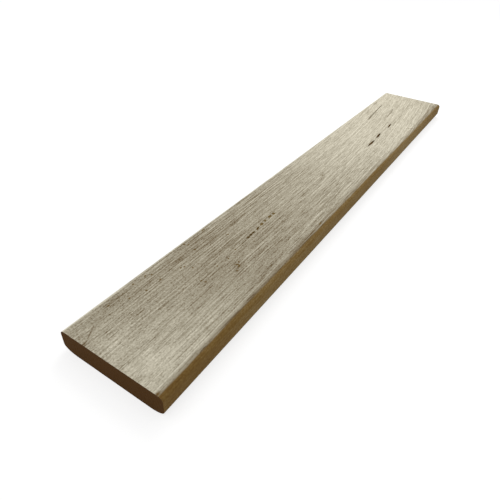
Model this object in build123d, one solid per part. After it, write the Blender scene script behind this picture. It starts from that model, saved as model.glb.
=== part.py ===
"""A hardwood plank: one dressed board, lying flat on its underside.

The length runs along X, the width along Y and the thickness along Z. The origin is on the underside, at the
middle of the length and of the width. Every size is in millimetres.
"""

import os

from build123d import *

# The board
LENGTH = 635.0
WIDTH = 90.0
THICKNESS = 19.0

# The long edges: a pencil round above, and a wider, flatter round below
TOP_ROUND = 4.0
UNDER_ROUND_WIDTH = 12.0
UNDER_ROUND_HEIGHT = 5.5

# The largest of the splits in the upper face, which opened along the grain as the wood dried
SPLIT_LENGTH = 24.0
SPLIT_WIDTH = 2.8
SPLIT_DEPTH = 4.0

# The largest of the hairline cracks in the upper face
CRACK_LENGTH = 74.0
CRACK_WIDTH = 0.7
CRACK_DEPTH = 1.0

# The largest of the pits in the upper face: a row along one growth ring, and the rim of a small knot
PIT_LENGTH = 5.2
PIT_WIDTH = 3.0
PIT_DEPTH = 1.6

# The largest of the chips out of the upper face, where it turns into the front long edge
CHIP_LENGTH = 8.0
CHIP_WIDTH = 2.2
CHIP_DEPTH = 0.9

# The foot of a hollow, as a share of its mouth
FOOT_SHARE = 0.35

# How far a cutter stands up out of the face that it cuts
OVERRUN = 0.5

# Each split, crack, pit or chip: its place along LENGTH and across WIDTH, from the middle, its length and its
# width as shares of the largest one's, and its turn from the grain in degrees. Its depth goes with its width.
SPLIT_SHARES = (
    (0.1672, -0.122, 1.00, 1.00, 0),
    (0.2135, -0.108, 0.75, 1.00, 5),
    (0.2824, -0.108, 0.70, 0.85, 5),
)
CRACK_SHARES = (
    (0.3425, 0.279, 1.00, 1.00, 4),
    (0.3685, 0.073, 0.34, 1.00, 7),
)
PIT_SHARES = (
    (-0.2613, 0.018, 0.35, 0.45, 0),
    (-0.2469, 0.028, 0.80, 0.70, 0),
    (-0.2397, 0.031, 0.75, 0.80, 0),
    (-0.2332, 0.032, 0.85, 0.70, 3),
    (-0.2209, 0.036, 1.00, 0.65, 16),
    (-0.2087, 0.043, 1.00, 0.95, 10),
    (-0.1984, 0.049, 0.65, 0.70, 4),
    (-0.1847, 0.050, 0.90, 1.00, 0),
    (-0.1745, 0.047, 0.60, 1.00, 0),
    (-0.3046, -0.116, 0.50, 0.50, -40),
    (-0.3031, -0.130, 0.50, 0.50, 90),
    (-0.3055, -0.144, 0.60, 0.50, 15),
    (-0.3139, -0.164, 0.40, 0.60, 0),
    (-0.2981, -0.106, 0.30, 0.40, 0),
)
CHIP_SHARES = (
    (-0.4331, -0.458, 1.00, 0.90, 0),
    (-0.1543, -0.426, 0.88, 1.00, 4),
)


def section():
    """The board's section in the YZ plane: its right half, and the same mirrored."""
    half_width = WIDTH / 2
    flat_top = half_width - TOP_ROUND
    flat_under = half_width - UNDER_ROUND_WIDTH
    shoulder = THICKNESS - TOP_ROUND
    with BuildSketch(Plane.YZ) as outline:
        with BuildLine():
            Line((0, 0), (flat_under, 0))
            EllipticalCenterArc(
                (flat_under, UNDER_ROUND_HEIGHT),
                UNDER_ROUND_WIDTH,
                UNDER_ROUND_HEIGHT,
                start_angle=270,
                arc_size=90,
            )
            Line((half_width, UNDER_ROUND_HEIGHT), (half_width, shoulder))
            CenterArc((flat_top, shoulder), TOP_ROUND, start_angle=0, arc_size=90)
            Line((flat_top, THICKNESS), (0, THICKNESS))
            mirror(about=Plane.YZ)
        make_face()
    return outline.sketch


def lens(length, width):
    """Two arcs that meet in a point at both ends, as fibres part around a split."""
    tip = (length / 2, 0)
    other_tip = (-length / 2, 0)
    with BuildSketch() as outline:
        with BuildLine():
            ThreePointArc(tip, (0, width / 2), other_tip)
            ThreePointArc(other_tip, (0, -width / 2), tip)
        make_face()
    return outline.sketch


def hollow(length, width, depth):
    """What a split, crack, pit or chip leaves open, narrowing from its mouth in the XY plane to its foot."""
    mouth = lens(length, width)
    foot = Pos(0, 0, -depth) * lens(FOOT_SHARE * length, FOOT_SHARE * width)
    return loft([foot, mouth]) + extrude(mouth, amount=OVERRUN)


def hollows(shares, length, width, depth):
    """The hollows of one kind, each where its row of shares puts it in the upper face."""
    return [
        Pos(along * LENGTH, across * WIDTH, THICKNESS)
        * Rot(0, 0, turn)
        * hollow(long * length, wide * width, wide * depth)
        for along, across, long, wide, turn in shares
    ]


def plank():
    """The whole plank: the section run along the length, less its splits, cracks, pits and chips."""
    board = extrude(section(), amount=LENGTH / 2, both=True)
    splits = hollows(SPLIT_SHARES, SPLIT_LENGTH, SPLIT_WIDTH, SPLIT_DEPTH)
    cracks = hollows(CRACK_SHARES, CRACK_LENGTH, CRACK_WIDTH, CRACK_DEPTH)
    pits = hollows(PIT_SHARES, PIT_LENGTH, PIT_WIDTH, PIT_DEPTH)
    chips = hollows(CHIP_SHARES, CHIP_LENGTH, CHIP_WIDTH, CHIP_DEPTH)
    return board - splits - cracks - pits - chips


os.makedirs("parts", exist_ok=True)
export_step(plank(), "parts/plank.step")
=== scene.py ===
"""A weathered hardwood plank: the looks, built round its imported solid.

Lengths are in millimetres and become metres where they reach Blender. X runs along the grain, Y across the
board and Z up. The near end is at -X, and the long side that faces the camera is at -Y.
"""

import math
from types import SimpleNamespace

import bpy
import numpy as np
from mathutils import Matrix, Vector, noise
from mathutils.geometry import delaunay_2d_cdt


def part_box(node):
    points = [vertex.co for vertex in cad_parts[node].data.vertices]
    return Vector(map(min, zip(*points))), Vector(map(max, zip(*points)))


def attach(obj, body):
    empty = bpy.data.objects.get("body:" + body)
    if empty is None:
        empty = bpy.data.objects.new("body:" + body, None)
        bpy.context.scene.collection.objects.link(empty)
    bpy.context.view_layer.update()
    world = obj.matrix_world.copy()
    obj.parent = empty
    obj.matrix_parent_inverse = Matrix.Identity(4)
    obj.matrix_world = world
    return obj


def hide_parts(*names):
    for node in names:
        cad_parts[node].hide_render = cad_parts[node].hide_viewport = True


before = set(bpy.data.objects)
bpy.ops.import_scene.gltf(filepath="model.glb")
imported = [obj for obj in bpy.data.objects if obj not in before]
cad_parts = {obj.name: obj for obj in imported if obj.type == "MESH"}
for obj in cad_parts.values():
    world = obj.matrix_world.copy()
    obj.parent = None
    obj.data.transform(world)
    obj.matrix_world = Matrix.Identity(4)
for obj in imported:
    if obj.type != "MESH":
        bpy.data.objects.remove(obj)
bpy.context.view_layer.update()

# Metres in a millimetre, and a number too small to matter
MM = 0.001
TINY = 1e-6

# The board, whose overall sizes come from the frame
LOW, HIGH = (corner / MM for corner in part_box("plank"))
LENGTH = HIGH.x - LOW.x
WIDTH = HIGH.y - LOW.y
THICKNESS = HIGH.z - LOW.z
TOP_ROUND = 4.0
UNDER_ROUND_WIDTH = 12.0
UNDER_ROUND_HEIGHT = 5.5
FLAT_TOP = WIDTH / 2 - TOP_ROUND
FLAT_UNDER = WIDTH / 2 - UNDER_ROUND_WIDTH
SHOULDER = THICKNESS - TOP_ROUND

# Splits, cracks, pits and chips in the upper face. A size is the largest one's length, width and depth.
# A row of shares is one's place along and across the board, its length and its width, and then its turn
# from the grain in degrees. The splits are narrower than in the solid, whose mouths take in worn lips too.
# The shallow pits and the pits round the small knot are less deep than in the solid.
SPLIT_SIZE = (24.0, 2.3, 4.0)
SPLIT_SHARES = (
    (0.1672, -0.122, 1.00, 1.00, 0),
    (0.2135, -0.108, 0.75, 1.00, 5),
    (0.2824, -0.108, 0.70, 0.85, 5),
)
CRACK_SIZE = (74.0, 0.7, 1.0)
CRACK_SHARES = (
    (0.3425, 0.279, 1.00, 1.00, 4),
    (0.3685, 0.073, 0.34, 1.00, 7),
)
PIT_SIZE = (5.2, 3.0, 1.6)
PIT_SHARES = (
    (-0.2613, 0.018, 0.35, 0.45, 0),
    (-0.2469, 0.028, 0.80, 0.70, 0),
    (-0.2397, 0.031, 0.75, 0.80, 0),
    (-0.2332, 0.032, 0.85, 0.70, 3),
    (-0.2209, 0.036, 1.00, 0.65, 16),
)
SHALLOW_PIT_SIZE = (5.2, 3.0, 0.55)
SHALLOW_PIT_SHARES = (
    (-0.2087, 0.043, 1.00, 0.95, 10),
    (-0.1984, 0.049, 0.65, 0.70, 4),
    (-0.1847, 0.050, 0.90, 1.00, 0),
    (-0.1745, 0.047, 0.60, 1.00, 0),
)
KNOT_SIZE = (5.2, 1.7, 0.5)
KNOT_SHARES = (
    (-0.3046, -0.116, 0.50, 0.50, -40),
    (-0.3031, -0.130, 0.50, 0.50, 90),
    (-0.3055, -0.144, 0.60, 0.50, 15),
    (-0.3139, -0.164, 0.40, 0.60, 0),
    (-0.2981, -0.106, 0.30, 0.40, 0),
)
CHIP_SIZE = (8.0, 2.2, 0.9)
CHIP_SHARES = (
    (-0.4331, -0.458, 1.00, 0.90, 0),
    (-0.1543, -0.426, 0.88, 1.00, 4),
)

# How steep the walls of the hollows are, how ragged their lips are, and how long a notch is
WALL_STEEPNESS = 2.2
RAGGED_SHARE, RAGGED_LENGTH = 0.35, 1.6

# The brown stain of the splits, pits and knot: how far it reaches past their lips, and its strength, which
# also sets the painted shade in a split's core
STAINS = (
    (SPLIT_SHARES, SPLIT_SIZE, 0.05, 4.0),
    (PIT_SHARES, PIT_SIZE, 0.4, 1.0),
    (SHALLOW_PIT_SHARES, SHALLOW_PIT_SIZE, 0.2, 1.0),
    (KNOT_SHARES, KNOT_SIZE, 0.0, 0.1),
)

# How closely the skin is divided: along the board, across its upper face, round its edges, over its ends
ALONG_STEP, ALONG_FINE_STEP = 2.6, 0.9
ACROSS_STEP, ACROSS_FINE_STEP = 0.5, 0.3
ROUND_PIECES, SIDE_PIECES, UNDER_PIECES = 6, 6, 22
END_STEP = 1.6
SHARP_EDGE = math.radians(48)

# How far up a normal points where the skin begins to count as the upper face, and where it does so in full
UPPER_NORMALS = (0.55, 0.95)

# The texture layout, in shares of its square: the skin is one strip, and both ends lie in a row above it.
# A millimetre of the sides, whose normals are nearly level, and of the underside takes up less of the
# strip than one of the upper face.
LAYOUT_MARGIN = 0.005
STRIP_HEIGHT = 0.88
LEVEL_NORMAL = 0.1
SIDE_DENSITY, UNDER_DENSITY = 0.8, 0.5
FAR_END_START = 0.5
END_LAYOUT_PER_MM = 0.005

# Stretches of X and of Y where splits, pits and chips need the finer step
FINE_ALONG = ((-281, -269), (-201, -187), (-168, -108), (-103, -93), (93, 120), (126, 146), (170, 189))
FINE_ACROSS = ((-16.5, -7.5), (0.5, 8.5), (22.0, 28.0))

# The growth rings: where the tree's middle lay, a ring's width, and the radius at which a turn is a length
PITH_Y, PITH_Z = 160.0, -60.0
RING_WIDTH = 2.6
TURN_RADIUS = 180.0

# The grain runs straight from the near end and bends towards +Y past this x. It also wanders a little.
BEND_START, BEND = -50.0, 0.00016
WANDER, WANDER_LENGTH, WANDER_WIDTH = 1.2, 200.0, 45.0
WANDER_SEED, WANDER_DETAIL = 3.0, 1.0

# The relief that weather has raised on the upper face, from ridge to furrow, and its share on the other
# sides. Each of its noises has a length along the grain, a width across the rings, a height, a seed and a
# strength.
GRAIN_DEPTH, SHELTERED_SHARE = 0.24, 0.35
GRAIN_MIDDLE = 0.5
GRAIN_NOISES = (
    (80.0, 1.1, 3.0, 1.0, 0.45),
    (18.0, 0.9, 3.0, 9.0, 0.3),
    (150.0, RING_WIDTH, 9.0, 5.0, 0.35),
)

# The saw marks on the ends: their depth, how many go to a millimetre of Y and of Z, and how they wander
SAW_MARK_DEPTH = 0.12
SAW_MARKS_PER_Y, SAW_MARKS_PER_Z = 0.24, 0.05
SAW_WANDER, SAW_WANDER_LENGTH, SAW_SEED = 0.5, 14.0, 2.0

# Hairline cracks and dark lines of the grain: the places they pass through, their half width and how dark
# they are. A pale line has a darkness below zero.
VEINS = (
    (((181, 22.5), (214, 25.1), (254, 27.7)), 1.4, 0.7),
    (((254, 27.7), (271, 29.0)), 1.2, 0.3),
    (((194, 2.7), (222, 5.2)), 1.1, 0.4),
    (((222, 5.2), (236, 5.9), (246, 8.0)), 1.2, 0.55),
    (((255, 5.8), (272, 6.6)), 1.2, 0.25),
    (((204, 33.6), (221, 35.9)), 1.2, 0.25),
    (((182.6, -29.9), (187.6, -36.0)), 1.4, 0.35),
    (((186.6, -34.8), (190.5, -39.3)), 1.4, 0.5),
    (((117, -11), (128, -10.4)), 0.6, 0.3),
    (((-318, 21.5), (-304.5, 27.7), (-284, 36.5)), 2.6, 0.12),
    (((-317.5, 22.8), (-312.9, 23.8), (-307, 27.3), (-302.4, 29.8)), 0.9, 0.4),
    (((-317, -9.8), (-268, -9.8)), 0.6, 0.2),
    (((-250, -9.8), (-224, -9.8)), 0.7, 0.5),
    (((-188, -9.6), (-184.8, -9.3), (-181, -7.8), (-177, -6.1)), 0.8, 0.25),
    (((-186, -16.6), (-157, -16.4)), 0.6, 0.3),
    (((-293, -32.9), (-267, -32.9)), 0.6, 0.4),
    (((-286, 26), (-255, 26)), 0.6, 0.2),
    (((-305, 13.4), (-272, 13.4)), 0.6, 0.25),
    (((-226, 0.2), (-166, 1.6), (-112, 4.4)), 0.7, 0.22),
    (((-317, -37.8), (-157, -37.5)), 0.8, -0.32),
)

# The brown rim of the small knot, as an open hook
KNOT_RIM = (
    (((-193.5, -10.2), (-192.4, -11.6), (-193.0, -13.1), (-194.6, -13.2)), 1.15, 1.0),
)

# Soft patches on the upper face: x, y, length, width and how dark they are, or how pale below zero
PATCHES = (
    (-193.5, -12.3, 22, 12, 0.16),
    (-317, 22.5, 6, 5, 0.25),
    (-250, 30, 110, 26, 0.07),
    (-305, 12, 60, 24, -0.07),
    (-245, -30, 110, 26, -0.06),
    (-281, 37.5, 26, 10, 0.14),
    (-215, 30, 20, 9, 0.12),
    (256, 38.5, 26, 6, 0.3),
    (300, -38, 120, 50, 0.12),
    (310, -10, 170, 70, 0.10),
    (210, 34, 60, 20, 0.06),
    (45, -35, 110, 26, 0.09),
    (265, -37, 160, 26, 0.1),
    (-95, -28, 100, 26, -0.06),
    (-190, 33, 130, 26, 0.05),
    (-308, 33, 40, 24, -0.05),
    (296, 12, 70, 26, -0.05),
    (-308, 5, 26, 11, -0.12),
    (-296, -22, 60, 28, -0.10),
)

# Where wear has bared the brown wood below: x, y, length, width and how bare it is
WORN_SPOTS = (
    (-316.5, -40.4, 7, 4.0, 1.0),
)

# Single dark pores in the upper face: x and y of each, their length and width, and the shares of their
# radius where they begin and where they are full
PORES = (
    (-284, 36), (-258, 38.4), (-246, 38), (-242, 35), (-242, 26), (-257, 26),
    (-270, 30), (-222.6, 22.7), (-220, 21.2), (-217, 15.2), (-225, 0.3), (-224, -3.2),
    (-204, 0.9), (-191, -0.6), (-178, 1.2), (-164, 18.6), (-198, 40), (-196, 37),
    (-173, 40), (-170.8, 40.2), (-198, 28), (-12, 1), (-199.2, -14.9), (-189.2, -9.8),
)
PORE_LENGTH, PORE_WIDTH = 2.5, 1.8
PORE_RIM = (1.0, 0.55)

# The camera, as the picture's perspective gives it
CAMERA_PLACE = (-414.37, -156.02, 239.49)
CAMERA_AZIMUTH, CAMERA_ELEVATION, CAMERA_ROLL = -58.794, 37.795, -3.398
FOCAL_SHARE = 0.86166
SENSOR = 36.0
CLIP_START = 10.0

# The floor, how much light it gives the plank, and how it looks by itself: its own grey and its glow
FLOOR_HALF = 4000.0
FLOOR_LIGHT, FLOOR_GREY, FLOOR_GLOW = 0.8, 0.36, 0.72

# The even light from all round, how bright it looks by itself, and the soft lamp
SKY_LIGHT, SKY_SHOWN = 0.78, 1.0
LAMP_SIZE, LAMP_POWER = 700.0, 4.0
LAMP_PLACE, LAMP_AIM = (600.0, 300.0, 750.0), (200.0, 0.0, 0.0)

# What the mesh knows of each point, for its material
MARKS = ("hollow", "chip", "stain", "grain")


# Small helpers


def linear(red, green, blue):
    """A colour written in 0 to 255 as a screen shows it, as linear RGBA, by the sRGB formula."""
    shares = (red / 255, green / 255, blue / 255)
    return tuple(c / 12.92 if c <= 0.04045 else ((c + 0.055) / 1.055) ** 2.4 for c in shares) + (1.0,)


def noise_at(x, y, z, seed):
    """Smooth noise from -1 to 1 at each of these places."""
    return np.array([noise.noise((a, b, c + seed)) for a, b, c in zip(x, y, z)])


def smooth_step(low, high, value):
    """0 up to low, 1 from high, and a smooth step between."""
    share = np.clip((value - low) / (high - low), 0, 1)
    return share * share * (3 - 2 * share)


# The mesh


def stations(low, high, wide_step, fine_step, fine_bands):
    """Places from low to high, a wide step apart, and a fine one inside the fine bands."""
    places = [low]
    while places[-1] < high:
        at = places[-1]
        fine = any(start <= at <= end for start, end in fine_bands)
        places.append(at + (fine_step if fine else wide_step))
    places[-1] = high
    if places[-1] - places[-2] < fine_step / 2:
        del places[-2]
    return np.array(places)


def section_ring():
    """The board's section as y, z and normal, from the back of the upper face round by the front."""
    across = stations(-FLAT_TOP, FLAT_TOP, ACROSS_STEP, ACROSS_FINE_STEP, FINE_ACROSS)[::-1]
    pieces = [(y, THICKNESS, 0, 1) for y in across[:-1]]
    quarter = np.linspace(0, math.pi / 2, ROUND_PIECES + 1)[:-1]
    rises = np.linspace(0, SHOULDER - UNDER_ROUND_HEIGHT, SIDE_PIECES + 1)[:-1]

    def arc(centre_y, centre_z, wide, high, start):
        for angle in start + quarter:
            c, s = math.cos(angle), math.sin(angle)
            normal = np.array((c / wide, s / high))
            normal /= np.linalg.norm(normal)
            pieces.append((centre_y + wide * c, centre_z + high * s, *normal))

    arc(-FLAT_TOP, SHOULDER, TOP_ROUND, TOP_ROUND, math.pi / 2)
    pieces.extend((-WIDTH / 2, SHOULDER - rise, -1, 0) for rise in rises)
    arc(-FLAT_UNDER, UNDER_ROUND_HEIGHT, UNDER_ROUND_WIDTH, UNDER_ROUND_HEIGHT, math.pi)
    under = np.linspace(-FLAT_UNDER, FLAT_UNDER, UNDER_PIECES + 1)[:-1]
    pieces.extend((y, 0, 0, -1) for y in under)
    arc(FLAT_UNDER, UNDER_ROUND_HEIGHT, UNDER_ROUND_WIDTH, UNDER_ROUND_HEIGHT, 1.5 * math.pi)
    pieces.extend((WIDTH / 2, UNDER_ROUND_HEIGHT + rise, 1, 0) for rise in rises)
    arc(FLAT_TOP, SHOULDER, TOP_ROUND, TOP_ROUND, 0)
    return np.array(pieces)


def hollow_depth(x, y, shares, size):
    """How deep the hollows of one kind are at each place: ragged lenses with steep walls."""
    length, width, depth = size
    deepest = np.zeros(len(x))
    for along_share, across_share, long, wide, turn in shares:
        from_x, from_y = x - along_share * LENGTH, y - across_share * WIDTH
        half_length = long * length / 2
        near = np.flatnonzero(np.hypot(from_x, from_y) < half_length)
        angle = math.radians(turn)
        along = from_x[near] * math.cos(angle) + from_y[near] * math.sin(angle)
        off = from_y[near] * math.cos(angle) - from_x[near] * math.sin(angle)
        notches = noise_at(along / RAGGED_LENGTH, np.sign(off), 0 * off, along_share * LENGTH)
        taper = np.maximum(1 - (along / half_length) ** 2, TINY)
        half_width = wide * width / 2 * (1 + RAGGED_SHARE * notches) * taper
        inside = np.clip(WALL_STEEPNESS * (1 - np.abs(off) / half_width), 0, 1)
        deepest[near] = np.maximum(deepest[near], wide * depth * inside)
    return deepest


def ring_distance(x, y, z):
    """How far a place is from the tree's middle, along which its growth rings are counted."""
    wander = WANDER * noise_at(x / WANDER_LENGTH, y / WANDER_WIDTH, z / WANDER_WIDTH, WANDER_SEED)
    bend = BEND * np.maximum(x - BEND_START, 0) ** 2
    return np.hypot(y - bend + wander - PITH_Y, z - PITH_Z)


def stain_depth(x, y, shares, size, reach, strength):
    """How strongly the hollows of one kind are stained at each place."""
    length, width, _ = size
    return hollow_depth(x, y, shares, (length + 2 * reach, width + 2 * reach, strength))


def relief(x, y, z, upper):
    """How far each place of the skin sinks, and its marks."""
    ring = ring_distance(x, y, z)
    grain = np.full(len(x), GRAIN_MIDDLE)
    for long, wide, high, seed, strength in GRAIN_NOISES:
        grain += strength * noise_at(x / long, ring / wide, z / high, seed)
    grain = np.clip(grain, 0, 1)
    hollow = upper * np.max([hollow_depth(x, y, shares, size) for shares, size, _, _ in STAINS], axis=0)
    chip = upper * hollow_depth(x, y, CHIP_SHARES, CHIP_SIZE)
    crack = upper * hollow_depth(x, y, CRACK_SHARES, CRACK_SIZE)
    stain = upper * np.max([stain_depth(x, y, *kind) for kind in STAINS], axis=0)
    weathered = upper + SHELTERED_SHARE * (1 - upper)
    sink = GRAIN_DEPTH * weathered * (1 - grain) + hollow + chip + crack
    return sink, np.column_stack((hollow, chip, stain, grain))


def end_cap(ring, place, inward):
    """Points and faces that close the section at one end, with saw marks cut inwards."""
    rim = [Vector(p) for p in ring]
    low, high = ring.min(0), ring.max(0)
    inner = [
        Vector((y, z))
        for y in np.arange(low[0] + END_STEP, high[0], END_STEP)
        for z in np.arange(low[1] + END_STEP, high[1], END_STEP)
    ]
    edges = [(i, (i + 1) % len(rim)) for i in range(len(rim))]
    points, _, faces, origin, _, _ = delaunay_2d_cdt(rim + inner, edges, [], 1, TINY)
    y = np.array([p.x for p in points])
    z = np.array([p.y for p in points])
    on_rim = np.array([any(i < len(rim) for i in ids) for ids in origin])
    wander = SAW_WANDER * noise_at(y / SAW_WANDER_LENGTH, z / SAW_WANDER_LENGTH, y * 0, SAW_SEED)
    strokes = y * SAW_MARKS_PER_Y + z * SAW_MARKS_PER_Z + wander
    marks = (1 + np.sin(2 * math.pi * strokes)) / 2
    depth = np.where(on_rim, 0, SAW_MARK_DEPTH * marks)
    return place + inward * depth, y, z, faces, origin


def strip_layout(ring, along):
    """The texture places of the skin's quads, as one strip with the grain lying level."""
    y, z, _, normal_z = np.vstack((ring, ring[:1])).T
    lower = np.where(normal_z > -LEVEL_NORMAL, SIDE_DENSITY, UNDER_DENSITY)
    density = np.where(normal_z > LEVEL_NORMAL, 1.0, lower)
    round_section = np.concatenate(((0,), np.cumsum(np.hypot(np.diff(y), np.diff(z)) * density[:-1])))
    across = LAYOUT_MARGIN + (STRIP_HEIGHT - LAYOUT_MARGIN) * round_section / round_section[-1]
    level = LAYOUT_MARGIN + (1 - 2 * LAYOUT_MARGIN) * (along - along[0]) / (along[-1] - along[0])
    rows, count = len(along) - 1, len(ring)
    places = np.empty((rows, count, 4, 2))
    places[:, :, 0, 0] = places[:, :, 3, 0] = level[:-1, None]
    places[:, :, 1, 0] = places[:, :, 2, 0] = level[1:, None]
    places[:, :, 0, 1] = places[:, :, 1, 1] = across[:-1]
    places[:, :, 2, 1] = places[:, :, 3, 1] = across[1:]
    return places.reshape(-1, 2)


def end_layout(y, z, inward):
    """The texture places of an end's points: the near end on the left, and the far end on the right."""
    left = LAYOUT_MARGIN if inward > 0 else FAR_END_START + LAYOUT_MARGIN
    bottom = STRIP_HEIGHT + 2 * LAYOUT_MARGIN
    return np.column_stack((left + (y + WIDTH / 2) * END_LAYOUT_PER_MM, bottom + z * END_LAYOUT_PER_MM))


def skin_quads(count, rows):
    """The faces between each row of points round the section and the next row."""
    quads = []
    for row in range(rows - 1):
        first = row * count + np.arange(count)
        after = row * count + (np.arange(count) + 1) % count
        quads.append(np.column_stack((first, first + count, after + count, after)))
    return np.concatenate(quads).tolist()


def new_board(points, faces, skin_faces, values, layout):
    """The plank's object: the first faces are its skin, and the rest its ends."""
    mesh = bpy.data.meshes.new("plank_board")
    mesh.from_pydata(points * MM, [], faces)
    mesh.polygons.foreach_set("use_smooth", np.ones(len(faces), bool))
    mesh.polygons.foreach_set("material_index", (np.arange(len(faces)) >= skin_faces).astype(np.int32))
    for name, column in zip(MARKS, values.T):
        layer = mesh.attributes.new(name, "FLOAT", "POINT")
        layer.data.foreach_set("value", column.astype(np.float32))
    mesh.uv_layers.new(name="OFBake").data.foreach_set("uv", layout.ravel())
    mesh.validate()
    mesh.set_sharp_from_angle(angle=SHARP_EDGE)
    board = bpy.data.objects.new("plank_board", mesh)
    bpy.context.scene.collection.objects.link(board)
    return board


def build_skin():
    """The plank as one closed mesh, with its grain, splits, pits and chips as real relief."""
    ring = section_ring()
    along = stations(-LENGTH / 2, LENGTH / 2, ALONG_STEP, ALONG_FINE_STEP, FINE_ALONG)
    count, rows = len(ring), len(along)
    x = np.repeat(along, count)
    y, z, normal_y, normal_z = (np.tile(column, rows) for column in ring.T)
    sink, marks = relief(x, y, z, smooth_step(*UPPER_NORMALS, normal_z))
    skin = np.column_stack((x, y - sink * normal_y, z - sink * normal_z))
    faces = skin_quads(count, rows)
    skin_faces = len(faces)

    points = [skin]
    values = [marks]
    layout = [strip_layout(ring, along)]
    for place, inward, first in ((-LENGTH / 2, 1, 0), (LENGTH / 2, -1, (rows - 1) * count)):
        rim = skin[first : first + count, 1:]
        cap_x, cap_y, cap_z, cap_faces, origin = end_cap(rim, place, inward)
        start = sum(map(len, points))
        new, names = [], []
        for i, ids in enumerate(origin):
            old = [k for k in ids if k < count]
            if old:
                names.append(first + old[0])
            else:
                names.append(start + len(new))
                new.append(i)
        points.append(np.column_stack((cap_x[new], cap_y[new], cap_z[new])))
        values.append(np.zeros((len(new), len(MARKS))))
        flat = end_layout(cap_y, cap_z, inward)
        for face in cap_faces:
            outward = face[::-1] if inward > 0 else face
            faces.append([names[i] for i in outward])
            layout.append(flat[outward])

    all_points, all_values, all_layout = map(np.concatenate, (points, values, layout))
    return new_board(all_points, faces, skin_faces, all_values, all_layout)


# Shader nodes

# The colour sockets of a mix node, by number, as its other sockets have the same names
MIX_FIRST, MIX_SECOND, MIX_RESULT = 6, 7, 2

# The middle of a noise that runs from 0 to 1
NOISE_MIDDLE = 0.5


def add(tree, kind, inputs=None, out=0, **settings):
    """A new shader node with these settings, its inputs set or linked. Gives an output, if it has any."""
    made = tree.nodes.new("ShaderNode" + kind)
    for name, value in settings.items():
        setattr(made, name, value)
    for key, value in (inputs or {}).items():
        if isinstance(value, bpy.types.NodeSocket):
            tree.links.new(value, made.inputs[key])
        else:
            made.inputs[key].default_value = value
    return made.outputs[out] if made.outputs else None


def joined(tree, operation, terms):
    """Sockets or numbers, joined one after another by one operation."""
    total = terms[0]
    for term in terms[1:]:
        total = add(tree, "Math", {0: total, 1: term}, operation=operation)
    return total


def plus(tree, *terms):
    """The sum of these sockets or numbers."""
    return joined(tree, "ADD", terms)


def less(tree, *terms):
    """The first of these sockets or numbers, less the others."""
    return joined(tree, "SUBTRACT", terms)


def times(tree, *terms):
    """The product of these sockets or numbers."""
    return joined(tree, "MULTIPLY", terms)


def largest(tree, *terms):
    """The largest of these sockets or numbers."""
    return joined(tree, "MAXIMUM", terms)


def smallest(tree, *terms):
    """The smallest of these sockets or numbers."""
    return joined(tree, "MINIMUM", terms)


def vectors(tree, operation, first, second, out="Vector"):
    """One operation on two vectors, as sockets or numbers."""
    return add(tree, "VectorMath", {0: first, 1: second}, out=out, operation=operation)


def step(tree, value, low, high, out_low=0.0, out_high=1.0):
    """A smooth step of a socket from low to high."""
    inputs = {"Value": value, "From Min": low, "From Max": high, "To Min": out_low, "To Max": out_high}
    return add(tree, "MapRange", inputs, interpolation_type="SMOOTHSTEP")


def shifted(tree, tone, fields):
    """A tone that these (field, strength) pairs move up and down about their middle."""
    for field, strength in fields:
        tone = plus(tree, tone, times(tree, less(tree, field, NOISE_MIDDLE), strength))
    return tone


def grey(share):
    """A linear grey, as RGBA."""
    return (share, share, share, 1.0)


def colours(tree, share, stops):
    """A colour ramp through these (place, colour) stops."""
    socket = add(tree, "ValToRGB", {"Fac": share})
    ramp = socket.node.color_ramp
    ramp.elements[0].position, ramp.elements[0].color = stops[0][0], linear(*stops[0][1])
    ramp.elements[1].position, ramp.elements[1].color = stops[-1][0], linear(*stops[-1][1])
    for place, colour in stops[1:-1]:
        ramp.elements.new(place).color = linear(*colour)
    return socket


def blend(tree, share, first, second):
    """Two colours mixed by a share."""
    inputs = {"Factor": share, MIX_FIRST: first, MIX_SECOND: second}
    return add(tree, "Mix", inputs, out=MIX_RESULT, data_type="RGBA")


def grained_noise(tree, place, along, across, detail):
    """Noise drawn out along the grain: about this long and this wide, in millimetres."""
    scale = (1 / along, 1 / across, 1 / across)
    stretched = add(tree, "Mapping", {"Vector": place, "Scale": scale})
    return add(tree, "TexNoise", {"Vector": stretched, "Scale": 1.0, "Detail": detail})


def attribute(tree, name):
    """One of the mesh's own values."""
    return add(tree, "Attribute", out="Fac", attribute_name=name)


def board_place(tree):
    """A point's place in the board, in millimetres, its distance from the tree's middle, and its grain.

    Its grain is x, that distance, and the way round the tree's middle.
    """
    here = add(tree, "TexCoord", out="Object")
    place = add(tree, "VectorMath", {0: here, "Scale": 1 / MM}, operation="SCALE")
    x, y, z = add(tree, "SeparateXYZ", {0: place}).node.outputs
    past = largest(tree, less(tree, x, BEND_START), 0.0)
    bend = times(tree, past, past, BEND)
    wander = grained_noise(tree, place, WANDER_LENGTH, WANDER_WIDTH, WANDER_DETAIL)
    drift = less(tree, times(tree, wander, 2 * WANDER), bend)
    across = less(tree, plus(tree, y, drift), PITH_Y)
    up = less(tree, z, PITH_Z)
    squares = plus(tree, times(tree, across, across), times(tree, up, up))
    ring = add(tree, "Math", {0: squares}, operation="SQRT")
    turn = add(tree, "Math", {0: up, 1: across}, operation="ARCTAN2")
    grain = add(tree, "CombineXYZ", {0: x, 1: ring, 2: times(tree, turn, TURN_RADIUS)})
    return SimpleNamespace(x=x, y=y, z=z, place=place, ring=ring, grain=grain)


def line_distance(tree, flat, start, end):
    """How far a point of the face is from the straight line between two places."""
    run = Vector((*end, 0)) - Vector((*start, 0))
    from_start = vectors(tree, "SUBTRACT", flat, (*start, 0))
    along = vectors(tree, "DOT_PRODUCT", from_start, run.normalized(), out="Value")
    along = add(tree, "Clamp", {"Value": along, "Min": 0.0, "Max": run.length})
    foot = add(tree, "VectorMath", {0: run.normalized(), "Scale": along}, operation="SCALE")
    return vectors(tree, "DISTANCE", from_start, foot, out="Value")


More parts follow.
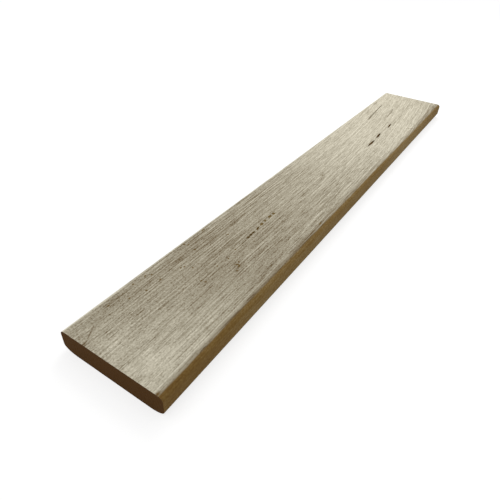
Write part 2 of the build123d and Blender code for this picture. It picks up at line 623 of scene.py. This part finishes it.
def vein_marks(tree, flat, veins):
    """How dark, or how brown, these hairlines make a point of the upper face."""
    marks = []
    for points, half_width, dark in veins:
        away = [line_distance(tree, flat, start, end) for start, end in zip(points, points[1:])]
        marks.append(step(tree, smallest(tree, *away), half_width, 0.0, 0.0, dark))
    return plus(tree, *marks)


def patch_marks(tree, flat, patches):
    """How dark, or how bare, these soft patches make a point of the upper face."""
    marks = []
    for x, y, length, width, dark in patches:
        away = vectors(tree, "SUBTRACT", flat, (x, y, 0))
        away = vectors(tree, "MULTIPLY", away, (2 / length, 2 / width, 0))
        away = add(tree, "VectorMath", {0: away}, out="Value", operation="LENGTH")
        marks.append(step(tree, away, 1.0, 0.0, 0.0, dark))
    return plus(tree, *marks)


def pore_marks(tree, flat):
    """1 in the middle of each single pore, and 0 at its rim."""
    squeeze = (2 / PORE_LENGTH, 2 / PORE_WIDTH, 0)
    squeezed = vectors(tree, "MULTIPLY", flat, squeeze)
    middles = [(x * squeeze[0], y * squeeze[1], 0) for x, y in PORES]
    away = [vectors(tree, "DISTANCE", squeezed, middle, out="Value") for middle in middles]
    return step(tree, smallest(tree, *away), *PORE_RIM)


def new_material(name):
    """An empty node material."""
    material = bpy.data.materials.new(name)
    material.use_nodes = True
    material.node_tree.nodes.clear()
    return material


# Materials

FACE_COLOURS = (
    (0.0, (104, 86, 58)),
    (0.25, (140, 129, 108)),
    (0.5, (166, 158, 138)),
    (0.75, (192, 185, 165)),
    (1.0, (218, 211, 191)),
)
SIDE_COLOURS = ((0.0, (82, 50, 8)), (0.5, (115, 90, 46)), (1.0, (149, 131, 93)))
END_COLOURS = ((0.0, (62, 38, 9)), (0.6, (78, 50, 15)), (1.0, (108, 78, 33)))
# Hollow insides: brown stain, painted darker with depth as shade
HOLLOW_STAIN_AND_SHADE_COLOURS = ((0.0, (118, 100, 62)), (0.5, (108, 76, 20)), (0.9, (62, 32, 3)))
SPLIT_WALL_COLOUR = (140, 94, 8)
# A split's dark core is painted shade as well as stain
SPLIT_CORE_STAIN_AND_SHADE_COLOUR = (60, 35, 5)
PORE_COLOUR = (98, 72, 3)

# Bare wood is dull, with a fine bump
SPECULAR_LEVEL = 0.12
BUMP_STRENGTH, BUMP_DISTANCE = 0.6, 0.2
END_ROUGHNESS = 0.9

# Noises in the wood: length along the grain, width across it, and detail
SPECKLE = (1.4, 0.9, 0.0)
FLECKS = (10.0, 1.3, 0.0)
DASHES = (14.0, 0.9, 0.0)
LINES = (80.0, 1.0, 0.0)
STREAKS = (50.0, 4.0, 1.0)
MOTTLE = (8.0, 6.0, 2.0)
WAVER = (14.0, 14.0, 1.0)
RING_DRIFT = (120.0, 5.0, 1.0)
RING_FADE = (40.0, 3.0, 1.0)

# How far drawn lines waver off their course, how far the rings drift, and where they fade and are clear
WAVER_REACH = 1.2
RING_DRIFT_REACH = 14.0
RING_CLEAR = (0.35, 0.6)

# The rows below are smooth steps: from one value to another, and what they give there. A step along the
# board goes by x, and one across it by y.

# How pale the upper face is, from 0 to 1: along the board, where its paling to the far end is partly
# painted light, and more so at its near end
FACE_TONE_AND_LIGHT_ALONG = (-180.0, 130.0, 0.42, 0.775)
NEAR_PALE_ALONG = (-200.0, -325.0, 0.0, 1.0)
NEAR_PALE_ACROSS = (45.0, -25.0, 0.2, 1.0)
NEAR_PALE_TONE = 0.285

# How strongly each noise shows in the upper face. The rings show most at the back of the near half, and
# the speckle least on the front rim. The near end has more mottle and weaker lines.
RINGS_RISE_ALONG = (-315.0, -215.0, 0.0, 1.0)
RINGS_FALL_ALONG = (60.0, -150.0, 0.0, 1.0)
RINGS_ACROSS = (5.0, 34.0, 0.0, 0.14)
RINGS_BASE_ALONG = (-330.0, -200.0, 0.06, 0.1)
SPECKLE_ALONG = (-300.0, -200.0, 0.64, 0.6)
SPECKLE_CALM_ALONG = (-120.0, -280.0, 0.0, 1.0)
SPECKLE_CALM_ACROSS = (12.0, -22.0, 0.0, 0.15)
SPECKLE_RIM_ACROSS = (-40.5, -35.0, 0.35, 1.0)
FLECKS_ALONG = (-200.0, -20.0, 0.0, 0.24)
DASHES_ALONG = (-280.0, -150.0, 0.1, 0.28)
MOTTLE_BASE, MOTTLE_NEAR = 0.09, 0.28
LINES_BASE, LINES_NEAR = 0.42, 0.2
STREAKS_STRENGTH, GRAIN_STRENGTH = 0.1, 0.12

# Which dashes are furrows and ridges, which speckle is dark specks, and where dashes break the hairlines
FURROWS = (0.42, 0.26, 0.0, 1.0)
FURROW_TONE_ALONG = (-60.0, 100.0, 0.13, 0.06)
RIDGES = (0.58, 0.74, 0.0, 0.05)
SPECKS = (0.36, 0.24, 0.0, 0.1)
BROKEN_VEINS = (0.3, 0.55, 1.2, 0.7)

# The rims of the upper face: painted shade darkens the front one, and a painted highlight pales the back
# one
RIM_SHADE_ALONG = (100.0, 280.0, 0.2, 0.27)
RIM_WIDER_ALONG = ((-270.0, -160.0, 0.0, 1.7), (140.0, 280.0, 0.0, 0.8))
RIM_ACROSS = (-38.0, -39.8, 0.0, 1.0)
RIM_CORNER_ACROSS = (-39.6, -42.0, 0.0, 0.16)
BACK_HIGHLIGHT_ALONG = (-320.0, 200.0, 0.5, 0.02)
BACK_HIGHLIGHT_ACROSS = (41.2, 42.6, 0.0, 1.0)

# The tone of the sides along the board, and how strongly each noise shows in them
SIDE_TONES_ALONG = ((-310.0, -200.0, 0.38, 0.57), (30.0, 140.0, 0.0, 0.09), (170.0, 290.0, 0.0, -0.13))
SIDE_LINES, SIDE_STREAKS, SIDE_DASHES, SIDE_SPECKLE = 0.15, 0.12, 0.16, 0.4

# Where grey gives way to brown round the upper edges: how the line between them wobbles, how far it moves
# out at the far end of the front edge and along the back edge, and how wide the change is, there and below
WOBBLE_MOTTLE, WOBBLE_SPECKLE = 1.2, 0.3
WOBBLE_ACROSS = (-5.0, 5.0, 1.0, 0.2)
FRONT_HALF_ACROSS = (5.0, -5.0, 0.0, 1.0)
FAR_REACH_ALONG = (40.0, 200.0, 0.0, -0.7)
BACK_REACH_ACROSS = (-5.0, 5.0, 0.0, -3.0)
EDGE_CHANGE, LOWER_CHANGE = 1.2, 3.0

# What the mesh's own values show as: a chip's brown, the depth over which a hollow's inside is painted
# darker as shade, the edge of its stain, and the walls and the core of a split, which alone is stained so
# strongly and whose core is painted dark as shade as well
CHIP_BROWN = (0.4, 0.75)
HOLLOW_SHADE = (0.1, 1.8)
STAIN_EDGE = (0.0, 0.5)
SPLIT_WALL = (1.0, 1.2)
SPLIT_CORE = (2.6, 3.9)

# The pores' strength, and how far below the upper face they and the knot's rim still show in full
PORE_STRENGTH, PORE_REACH = 0.85, 1.0

# The skin's roughness, which goes with its dashes
ROUGHNESS = (0.2, 0.8, 0.92, 0.78)

# End grain: its specks to a millimetre, their detail, and how strongly the rings show
END_SPECKS_PER_MM, END_SPECK_DETAIL = 1.6, 3.0
END_RING_STRENGTH = 0.08


def finish_surface(tree, colour, height, roughness):
    """The shader of bare wood: dull, with a fine bump."""
    bump_inputs = {"Strength": BUMP_STRENGTH, "Distance": BUMP_DISTANCE * MM, "Height": height}
    shader_inputs = {
        "Base Color": colour,
        "Roughness": roughness,
        "Specular IOR Level": SPECULAR_LEVEL,
        "Normal": add(tree, "Bump", bump_inputs),
    }
    add(tree, "OutputMaterial", {"Surface": add(tree, "BsdfPrincipled", shader_inputs)})


def ring_phase(tree, at):
    """The growth rings as an angle that goes once round from each ring to the next."""
    return times(tree, at.ring, 2 * math.pi / RING_WIDTH)


def ring_lines(tree, at):
    """The growth rings as fine waves about one half, which drift, fade and come back along the board."""
    drift = times(tree, grained_noise(tree, at.grain, *RING_DRIFT), RING_DRIFT_REACH)
    phase = plus(tree, ring_phase(tree, at), drift)
    clear = step(tree, grained_noise(tree, at.grain, *RING_FADE), *RING_CLEAR)
    waves = times(tree, add(tree, "Math", {0: phase}, operation="SINE"), clear)
    return plus(tree, waves, NOISE_MIDDLE)


def timber_noises(tree, at):
    """The noises of the wood's skin, and its growth rings."""
    dashes = grained_noise(tree, at.grain, *DASHES)
    return SimpleNamespace(
        speckle=grained_noise(tree, at.grain, *SPECKLE),
        flecks=grained_noise(tree, at.grain, *FLECKS),
        dashes=dashes,
        furrows=step(tree, dashes, *FURROWS),
        lines=grained_noise(tree, at.grain, *LINES),
        streaks=grained_noise(tree, at.grain, *STREAKS),
        mottle=grained_noise(tree, at.place, *MOTTLE),
        rings=ring_lines(tree, at),
    )


def wavering_face(tree, at):
    """A point's place in the upper face, wavering a little, so that drawn lines aren't quite straight."""
    waver = shifted(tree, 0.0, ((grained_noise(tree, at.place, *WAVER), WAVER_REACH),))
    return add(tree, "CombineXYZ", {0: at.x, 1: plus(tree, at.y, waver)})


def face_tone(tree, at, wood):
    """How pale the upper face is, without its marks and its rims."""
    near_pale = times(tree, step(tree, at.x, *NEAR_PALE_ALONG), step(tree, at.y, *NEAR_PALE_ACROSS))
    # The face pales towards the far end partly as painted light
    tone = plus(tree, step(tree, at.x, *FACE_TONE_AND_LIGHT_ALONG), times(tree, near_pale, NEAR_PALE_TONE))
    rings = times(tree, step(tree, at.x, *RINGS_RISE_ALONG), step(tree, at.x, *RINGS_FALL_ALONG))
    rings = times(tree, rings, step(tree, at.y, *RINGS_ACROSS))
    rings = plus(tree, rings, step(tree, at.x, *RINGS_BASE_ALONG))
    calm = times(tree, step(tree, at.x, *SPECKLE_CALM_ALONG), step(tree, at.y, *SPECKLE_CALM_ACROSS))
    speckle = less(tree, step(tree, at.x, *SPECKLE_ALONG), calm)
    speckle = times(tree, speckle, step(tree, at.y, *SPECKLE_RIM_ACROSS))
    strengths = (
        (wood.speckle, speckle),
        (wood.flecks, step(tree, at.x, *FLECKS_ALONG)),
        (wood.dashes, step(tree, at.x, *DASHES_ALONG)),
        (wood.lines, less(tree, LINES_BASE, times(tree, near_pale, LINES_NEAR))),
        (wood.rings, rings),
        (wood.streaks, STREAKS_STRENGTH),
        (wood.mottle, plus(tree, times(tree, near_pale, MOTTLE_NEAR), MOTTLE_BASE)),
        (attribute(tree, "grain"), GRAIN_STRENGTH),
    )
    return shifted(tree, tone, strengths)


def marked_tone(tree, tone, at, wood):
    """A tone of the upper face with its furrows, ridges, specks, hairlines and patches."""
    furrows = times(tree, wood.furrows, step(tree, at.x, *FURROW_TONE_ALONG))
    tone = plus(tree, less(tree, tone, furrows), step(tree, wood.dashes, *RIDGES))
    specks = step(tree, wood.speckle, *SPECKS)
    veins = times(tree, vein_marks(tree, at.flat, VEINS), step(tree, wood.dashes, *BROKEN_VEINS))
    return less(tree, tone, specks, veins, patch_marks(tree, at.flat, PATCHES))


def rimmed_tone(tree, tone, at):
    """A tone of the upper face with painted shade on its front rim and a painted highlight on its back
    rim.
    """
    wider = plus(tree, *(step(tree, at.x, *stretch) for stretch in RIM_WIDER_ALONG))
    # Painted shade where the front edge rounds away from the light
    rim = step(tree, less(tree, at.y, wider), *RIM_ACROSS)
    rim = times(tree, rim, step(tree, at.x, *RIM_SHADE_ALONG))
    rim = plus(tree, rim, step(tree, at.y, *RIM_CORNER_ACROSS))
    # A painted highlight along the back edge, which faces the light
    back_highlight = times(tree, step(tree, at.y, *BACK_HIGHLIGHT_ACROSS), step(tree, at.x, *BACK_HIGHLIGHT_ALONG))
    return plus(tree, less(tree, tone, rim), back_highlight)


def side_colour(tree, at, wood):
    """The brown wood of the sides and of the underside."""
    tone = plus(tree, *(step(tree, at.x, *stretch) for stretch in SIDE_TONES_ALONG))
    strengths = (
        (wood.lines, SIDE_LINES),
        (wood.streaks, SIDE_STREAKS),
        (wood.dashes, SIDE_DASHES),
        (wood.speckle, SIDE_SPECKLE),
    )
    return colours(tree, shifted(tree, tone, strengths), SIDE_COLOURS)


def brown_share(tree, at, wood):
    """How brown a point is: round the upper edges, lower down, in chips and where the wood is bare."""
    wobble = shifted(tree, 0.0, ((wood.mottle, WOBBLE_MOTTLE), (wood.speckle, WOBBLE_SPECKLE)))
    wobble = times(tree, wobble, step(tree, at.y, *WOBBLE_ACROSS))
    far_reach = times(tree, step(tree, at.x, *FAR_REACH_ALONG), step(tree, at.y, *FRONT_HALF_ACROSS))
    back_reach = step(tree, at.y, *BACK_REACH_ACROSS)
    off_middle = add(tree, "Math", {0: at.y}, operation="ABSOLUTE")
    reach = plus(tree, off_middle, wobble, far_reach, back_reach)
    edge = step(tree, reach, FLAT_TOP, FLAT_TOP + EDGE_CHANGE)
    lower = step(tree, at.z, SHOULDER, SHOULDER - LOWER_CHANGE)
    chips = step(tree, attribute(tree, "chip"), *CHIP_BROWN)
    return largest(tree, edge, lower, chips, patch_marks(tree, at.flat, WORN_SPOTS))


def with_hollows(tree, skin):
    """A skin colour with the brown stain of its splits and pits, and their insides painted darker with
    depth as shade.
    """
    stain = attribute(tree, "stain")
    # Insides painted darker with depth, as shade in the hollow
    inside = colours(tree, step(tree, attribute(tree, "hollow"), *HOLLOW_SHADE), HOLLOW_STAIN_AND_SHADE_COLOURS)
    inside = blend(tree, step(tree, stain, *SPLIT_WALL), inside, linear(*SPLIT_WALL_COLOUR))
    # A split's core painted near black, as shade as well as stain
    inside = blend(tree, step(tree, stain, *SPLIT_CORE), inside, linear(*SPLIT_CORE_STAIN_AND_SHADE_COLOUR))
    return blend(tree, step(tree, stain, *STAIN_EDGE), skin, inside)


def with_pores(tree, skin, at):
    """A skin colour with the single pores and the brown rim of the knot in its upper face."""
    pores = times(tree, pore_marks(tree, at.flat), PORE_STRENGTH)
    marks = largest(tree, pores, vein_marks(tree, at.flat, KNOT_RIM))
    on_top = step(tree, at.z, SHOULDER, THICKNESS - PORE_REACH)
    return blend(tree, times(tree, marks, on_top), skin, linear(*PORE_COLOUR))


def weathered_timber():
    """Grey, weathered wood above, which turns brown round the upper edges and is brown below them."""
    material = new_material("weathered_timber")
    tree = material.node_tree
    at = board_place(tree)
    at.flat = wavering_face(tree, at)
    wood = timber_noises(tree, at)
    tone = marked_tone(tree, face_tone(tree, at, wood), at, wood)
    face = colours(tree, rimmed_tone(tree, tone, at), FACE_COLOURS)
    skin = blend(tree, brown_share(tree, at, wood), face, side_colour(tree, at, wood))
    skin = with_pores(tree, with_hollows(tree, skin), at)
    height = less(tree, plus(tree, wood.dashes, wood.speckle), wood.furrows)
    finish_surface(tree, skin, height, step(tree, wood.dashes, *ROUGHNESS))
    return material


def end_grain():
    """Dark sawn end grain, with its growth rings and pores."""
    material = new_material("end_grain")
    tree = material.node_tree
    at = board_place(tree)
    bands = add(tree, "Math", {0: ring_phase(tree, at)}, operation="SINE")
    speck_inputs = {"Vector": at.place, "Scale": END_SPECKS_PER_MM, "Detail": END_SPECK_DETAIL}
    specks = add(tree, "TexNoise", speck_inputs)
    share = plus(tree, times(tree, bands, END_RING_STRENGTH), specks)
    finish_surface(tree, colours(tree, share, END_COLOURS), specks, END_ROUGHNESS)
    return material


# The stage, the light and the camera


def shown_share(tree):
    """1 on a ray that shows the background by itself: to the camera, in a reflection or through glass."""
    rays = add(tree, "LightPath").node.outputs
    return largest(tree, rays["Is Camera Ray"], rays["Is Glossy Ray"], rays["Is Transmission Ray"])


def add_floor():
    """A wide pale floor that shows white to the camera and keeps the plank's soft shadow."""
    mesh = bpy.data.meshes.new("floor")
    half = FLOOR_HALF * MM
    corners = [(-half, -half, 0), (half, -half, 0), (half, half, 0), (-half, half, 0)]
    mesh.from_pydata(corners, [], [(0, 1, 2, 3)])
    floor = bpy.data.objects.new("floor", mesh)
    bpy.context.scene.collection.objects.link(floor)
    material = new_material("white_floor")
    tree = material.node_tree
    lighting = add(tree, "BsdfDiffuse", {"Color": grey(FLOOR_LIGHT)})
    matt = add(tree, "BsdfDiffuse", {"Color": grey(FLOOR_GREY)})
    glow = add(tree, "Emission", {"Color": grey(1.0), "Strength": FLOOR_GLOW})
    shown = add(tree, "AddShader", {0: matt, 1: glow})
    surface = add(tree, "MixShader", {0: shown_share(tree), 1: lighting, 2: shown})
    add(tree, "OutputMaterial", {"Surface": surface})
    mesh.materials.append(material)


def add_light():
    """Even light from all round, and one large soft lamp over the far end."""
    world = bpy.data.worlds.new("studio")
    bpy.context.scene.world = world
    world.use_nodes = True
    tree = world.node_tree
    tree.nodes.clear()
    brightness = {"Factor": shown_share(tree), "A": SKY_LIGHT, "B": SKY_SHOWN}
    strength = add(tree, "Mix", brightness, data_type="FLOAT")
    sky = add(tree, "Background", {"Color": grey(1.0), "Strength": strength})
    add(tree, "OutputWorld", {"Surface": sky})

    lamp = bpy.data.lights.new("soft_lamp", "AREA")
    lamp.shape = "DISK"
    lamp.size = LAMP_SIZE * MM
    lamp.energy = LAMP_POWER
    holder = bpy.data.objects.new("soft_lamp", lamp)
    holder.location = Vector(LAMP_PLACE) * MM
    aim = Vector(LAMP_AIM) - Vector(LAMP_PLACE)
    holder.rotation_euler = aim.to_track_quat("-Z", "Y").to_euler()
    bpy.context.scene.collection.objects.link(holder)


def add_camera():
    """The camera at the picture's own place, turn and focal length."""
    azimuth, elevation, roll = map(math.radians, (CAMERA_AZIMUTH, CAMERA_ELEVATION, CAMERA_ROLL))
    level = Matrix.Rotation(azimuth, 4, "Z") @ Matrix.Rotation(math.pi / 2 - elevation, 4, "X")
    place = Matrix.Translation(Vector(CAMERA_PLACE) * MM)
    lens = bpy.data.cameras.new("camera")
    lens.sensor_width = SENSOR
    lens.lens = FOCAL_SHARE * SENSOR
    lens.clip_start = CLIP_START * MM
    camera = bpy.data.objects.new("camera", lens)
    camera.matrix_world = place @ level @ Matrix.Rotation(-roll, 4, "Z")
    bpy.context.scene.collection.objects.link(camera)
    bpy.context.scene.camera = camera


def main():
    """Builds the plank and its stage."""
    bpy.context.scene.view_settings.view_transform = "Standard"
    board = build_skin()
    board.data.materials.append(weathered_timber())
    board.data.materials.append(end_grain())
    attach(board, "root")
    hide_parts("plank")
    add_floor()
    add_light()
    add_camera()


main()
